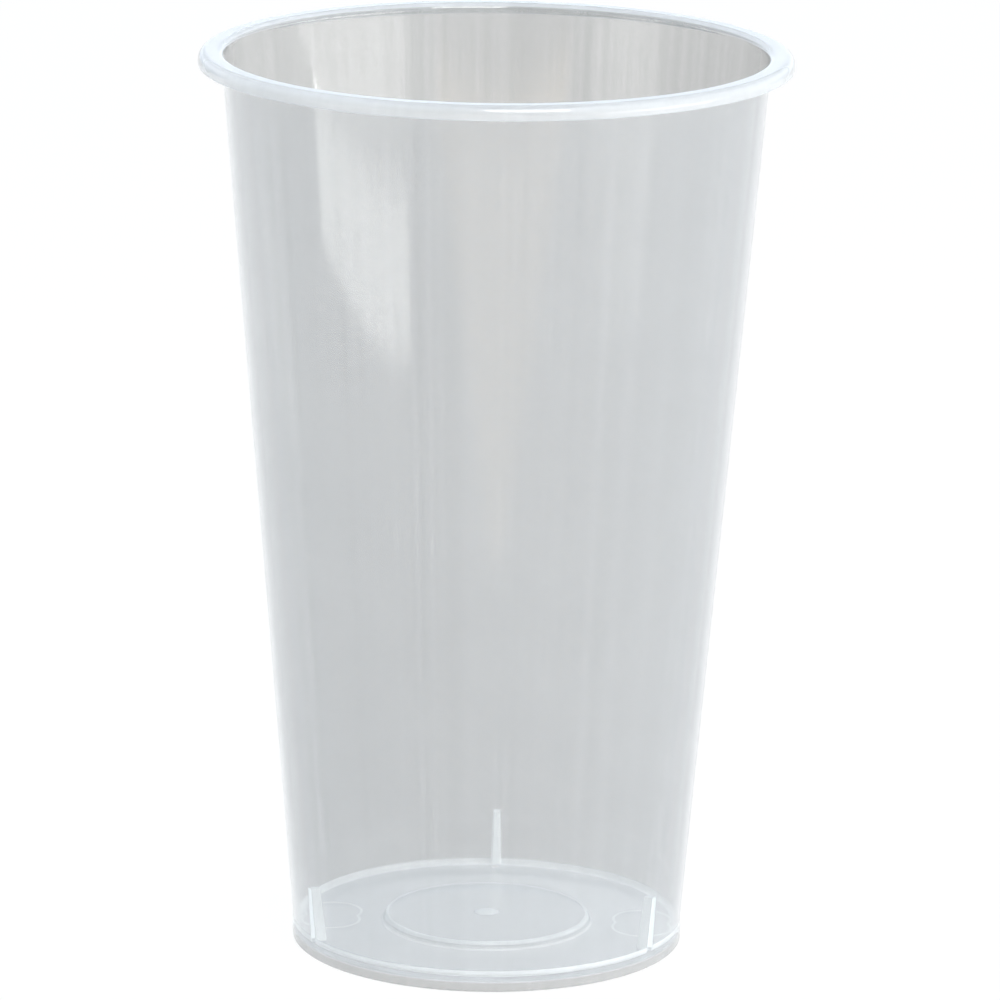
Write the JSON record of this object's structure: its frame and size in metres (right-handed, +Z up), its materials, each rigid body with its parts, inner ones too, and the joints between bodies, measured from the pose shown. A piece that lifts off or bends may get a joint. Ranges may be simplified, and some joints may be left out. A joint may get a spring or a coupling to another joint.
{
  "type": "plastic cup",
  "caption": "Tapered open drinks cup of thin milky-clear plastic with a turned-down rim, a recessed floor and stacking ribs.",
  "frame": {"origin": "centre of the ring that the cup stands on, at table height", "axes": "+Z up the cup's axis through its mouth, +Y through the first stacking rib"},
  "size_m": [0.09, 0.09, 0.139],
  "materials": {
    "polypropylene": "milky clear, smooth"
  },
  "bodies": {
    "root": {"cup": "polypropylene"}
  },
  "joints": []
}
